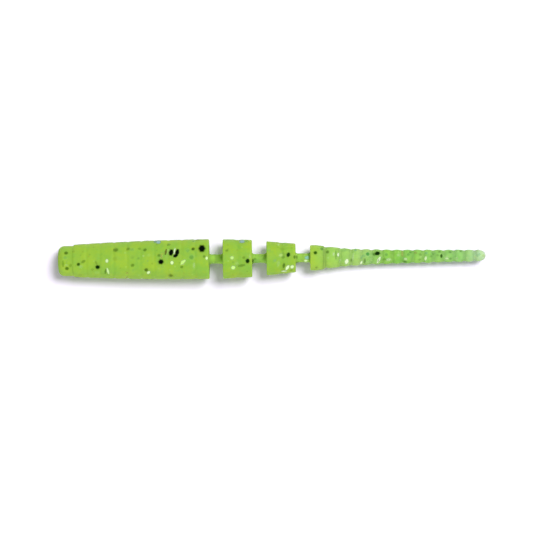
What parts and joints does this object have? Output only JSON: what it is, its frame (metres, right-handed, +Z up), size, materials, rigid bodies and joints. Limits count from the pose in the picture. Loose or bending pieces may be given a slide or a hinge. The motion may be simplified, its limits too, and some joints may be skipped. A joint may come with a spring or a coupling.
{
  "type": "soft plastic worm",
  "caption": "Ribbed soft plastic fishing worm: stout blunt front body, two short segments on thin necks and a long slender beaded tail, lime green with glitter flakes.",
  "frame": {"origin": "on the table under the middle of the worm", "axes": "+X from the nose to the tail tip, +Z up from the table, worm straight and at rest"},
  "size_m": [0.064, 0.006, 0.0059],
  "materials": {
    "soft_plastic": "translucent lime plastisol, soft gloss",
    "soft_plastic_tail": "the same plastisol, thinner and paler, soft gloss",
    "black_glitter": "black metallised film",
    "silver_glitter": "silver metallised film",
    "blue_glitter": "blue-green metallised film"
  },
  "bodies": {
    "front": {"front_body": "soft_plastic", "front_body_black_flakes": "black_glitter", "front_body_blue_flakes": "blue_glitter", "front_body_silver_flakes": "silver_glitter"},
    "neck_1": {"neck_1": "soft_plastic"},
    "segment_1": {"segment_1": "soft_plastic", "segment_1_black_flakes": "black_glitter", "segment_1_blue_flakes": "blue_glitter", "segment_1_silver_flakes": "silver_glitter"},
    "neck_2": {"neck_2": "soft_plastic"},
    "segment_2": {"segment_2": "soft_plastic", "segment_2_black_flakes": "black_glitter", "segment_2_silver_flakes": "silver_glitter"},
    "neck_3": {"neck_3": "soft_plastic"},
    "tail_01": {"tail_ring_01": "soft_plastic_tail", "tail_ring_01_black_flake": "black_glitter"},
    "tail_02": {"tail_web_01": "soft_plastic_tail", "tail_ring_02": "soft_plastic_tail", "tail_ring_02_silver_flake": "silver_glitter"},
    "tail_03": {"tail_web_02": "soft_plastic_tail", "tail_ring_03": "soft_plastic_tail", "tail_ring_03_silver_flake": "silver_glitter"},
    "tail_04": {"tail_web_03": "soft_plastic_tail", "tail_ring_04": "soft_plastic_tail"},
    "tail_05": {"tail_web_04": "soft_plastic_tail", "tail_ring_05": "soft_plastic_tail", "tail_ring_05_silver_flake": "silver_glitter"},
    "tail_06": {"tail_web_05": "soft_plastic_tail", "tail_ring_06": "soft_plastic_tail", "tail_ring_06_black_flake": "black_glitter"},
    "tail_07": {"tail_web_06": "soft_plastic_tail", "tail_ring_07": "soft_plastic_tail", "tail_ring_07_silver_flake": "silver_glitter"},
    "tail_08": {"tail_web_07": "soft_plastic_tail", "tail_ring_08": "soft_plastic_tail", "tail_ring_08_silver_flake": "silver_glitter"},
    "tail_09": {"tail_web_08": "soft_plastic_tail", "tail_ring_09": "soft_plastic_tail", "tail_ring_09_silver_flake": "silver_glitter"},
    "tail_10": {"tail_web_09": "soft_plastic_tail", "tail_ring_10": "soft_plastic_tail"},
    "tail_11": {"tail_web_10": "soft_plastic_tail", "tail_ring_11": "soft_plastic_tail", "tail_ring_11_silver_flake": "silver_glitter"},
    "tail_12": {"tail_web_11": "soft_plastic_tail", "tail_ring_12": "soft_plastic_tail", "tail_ring_12_black_flake": "black_glitter"},
    "tail_13": {"tail_web_12": "soft_plastic_tail", "tail_ring_13": "soft_plastic_tail", "tail_ring_13_silver_flake": "silver_glitter"},
    "tail_14": {"tail_web_13": "soft_plastic_tail", "tail_ring_14": "soft_plastic_tail"},
    "tail_15": {"tail_web_14": "soft_plastic_tail", "tail_ring_15": "soft_plastic_tail"},
    "tail_16": {"tail_web_15": "soft_plastic_tail", "tail_ring_16": "soft_plastic_tail"}
  },
  "joints": [
    {"name": "neck_1_sway", "type": "hinge", "parent": "front", "child": "neck_1", "pos_m": [-0.00899, 0, 0.0029], "axis": [0, 0, 1], "range_deg": [-25, 25], "stiffness_Nm_per_rad": 0.00003, "deforming": ["neck_1"]},
    {"name": "neck_1_lift", "type": "hinge", "parent": "neck_1", "child": "segment_1", "pos_m": [-0.00796, 0, 0.0029], "axis": [0, -1, 0], "range_deg": [-25, 25], "stiffness_Nm_per_rad": 0.00003, "deforming": ["neck_1"]},
    {"name": "neck_2_sway", "type": "hinge", "parent": "segment_1", "child": "neck_2", "pos_m": [-0.00256, 0, 0.0027], "axis": [0, 0, 1], "range_deg": [-28, 28], "stiffness_Nm_per_rad": 0.00003, "deforming": ["neck_2"]},
    {"name": "neck_2_lift", "type": "hinge", "parent": "neck_2", "child": "segment_2", "pos_m": [-0.00149, 0, 0.0027], "axis": [0, -1, 0], "range_deg": [-28, 28], "stiffness_Nm_per_rad": 0.00003, "deforming": ["neck_2"]},
    {"name": "neck_3_sway", "type": "hinge", "parent": "segment_2", "child": "neck_3", "pos_m": [0.00395, 0, 0.00219], "axis": [0, 0, 1], "range_deg": [-32, 32], "stiffness_Nm_per_rad": 0.00003, "deforming": ["neck_3"]},
    {"name": "neck_3_lift", "type": "hinge", "parent": "neck_3", "child": "tail_01", "pos_m": [0.00505, 0, 0.00219], "axis": [0, -1, 0], "range_deg": [-32, 32], "stiffness_Nm_per_rad": 0.00003, "deforming": ["neck_3"]},
    {"name": "tail_01_sway", "type": "hinge", "parent": "tail_01", "child": "tail_02", "pos_m": [0.00777, 0, 0.0017], "axis": [0, 0, 1], "range_deg": [-11, 11], "stiffness_Nm_per_rad": 0.00008, "deforming": ["tail_web_01"]},
    {"name": "tail_02_lift", "type": "hinge", "parent": "tail_02", "child": "tail_03", "pos_m": [0.01013, 0, 0.00143], "axis": [0, -1, 0], "range_deg": [-11, 11], "stiffness_Nm_per_rad": 0.00008, "deforming": ["tail_web_02"]},
    {"name": "tail_03_sway", "type": "hinge", "parent": "tail_03", "child": "tail_04", "pos_m": [0.01167, 0, 0.00127], "axis": [0, 0, 1], "range_deg": [-11, 11], "deforming": ["tail_web_03"]},
    {"name": "tail_04_lift", "type": "hinge", "parent": "tail_04", "child": "tail_05", "pos_m": [0.01323, 0, 0.00118], "axis": [0, -1, 0], "range_deg": [-11, 11], "deforming": ["tail_web_04"]},
    {"name": "tail_05_sway", "type": "hinge", "parent": "tail_05", "child": "tail_06", "pos_m": [0.01477, 0, 0.00112], "axis": [0, 0, 1], "range_deg": [-11, 11], "deforming": ["tail_web_05"]},
    {"name": "tail_06_lift", "type": "hinge", "parent": "tail_06", "child": "tail_07", "pos_m": [0.01632, 0, 0.00107], "axis": [0, -1, 0], "range_deg": [-11, 11], "deforming": ["tail_web_06"]},
    {"name": "tail_07_sway", "type": "hinge", "parent": "tail_07", "child": "tail_08", "pos_m": [0.01787, 0, 0.00103], "axis": [0, 0, 1], "range_deg": [-11, 11], "deforming": ["tail_web_07"]},
    {"name": "tail_08_lift", "type": "hinge", "parent": "tail_08", "child": "tail_09", "pos_m": [0.01943, 0, 0.001], "axis": [0, -1, 0], "range_deg": [-11, 11], "deforming": ["tail_web_08"]},
    {"name": "tail_09_sway", "type": "hinge", "parent": "tail_09", "child": "tail_10", "pos_m": [0.02098, 0, 0.00097], "axis": [0, 0, 1], "range_deg": [-16, 16], "stiffness_Nm_per_rad": 0.000005, "deforming": ["tail_web_09"]},
    {"name": "tail_10_lift", "type": "hinge", "parent": "tail_10", "child": "tail_11", "pos_m": [0.02252, 0, 0.00095], "axis": [0, -1, 0], "range_deg": [-16, 16], "stiffness_Nm_per_rad": 0.000005, "deforming": ["tail_web_10"]},
    {"name": "tail_11_sway", "type": "hinge", "parent": "tail_11", "child": "tail_12", "pos_m": [0.02407, 0, 0.00093], "axis": [0, 0, 1], "range_deg": [-16, 16], "deforming": ["tail_web_11"]},
    {"name": "tail_12_lift", "type": "hinge", "parent": "tail_12", "child": "tail_13", "pos_m": [0.02562, 0, 0.00091], "axis": [0, -1, 0], "range_deg": [-16, 16], "deforming": ["tail_web_12"]},
    {"name": "tail_13_sway", "type": "hinge", "parent": "tail_13", "child": "tail_14", "pos_m": [0.02718, 0, 0.00089], "axis": [0, 0, 1], "range_deg": [-16, 16], "deforming": ["tail_web_13"]},
    {"name": "tail_14_lift", "type": "hinge", "parent": "tail_14", "child": "tail_15", "pos_m": [0.02873, 0, 0.00087], "axis": [0, -1, 0], "range_deg": [-16, 16], "deforming": ["tail_web_14"]},
    {"name": "tail_15_sway", "type": "hinge", "parent": "tail_15", "child": "tail_16", "pos_m": [0.03027, 0, 0.00085], "axis": [0, 0, 1], "range_deg": [-16, 16], "deforming": ["tail_web_15"]}
  ],
  "couplings": [
    {"joint": "tail_03_sway", "follows": "tail_01_sway", "ratio": 1},
    {"joint": "tail_04_lift", "follows": "tail_02_lift", "ratio": 1},
    {"joint": "tail_05_sway", "follows": "tail_01_sway", "ratio": 1},
    {"joint": "tail_06_lift", "follows": "tail_02_lift", "ratio": 1},
    {"joint": "tail_07_sway", "follows": "tail_01_sway", "ratio": 1},
    {"joint": "tail_08_lift", "follows": "tail_02_lift", "ratio": 1},
    {"joint": "tail_11_sway", "follows": "tail_09_sway", "ratio": 1},
    {"joint": "tail_12_lift", "follows": "tail_10_lift", "ratio": 1},
    {"joint": "tail_13_sway", "follows": "tail_09_sway", "ratio": 1},
    {"joint": "tail_14_lift", "follows": "tail_10_lift", "ratio": 1},
    {"joint": "tail_15_sway", "follows": "tail_09_sway", "ratio": 1}
  ]
}
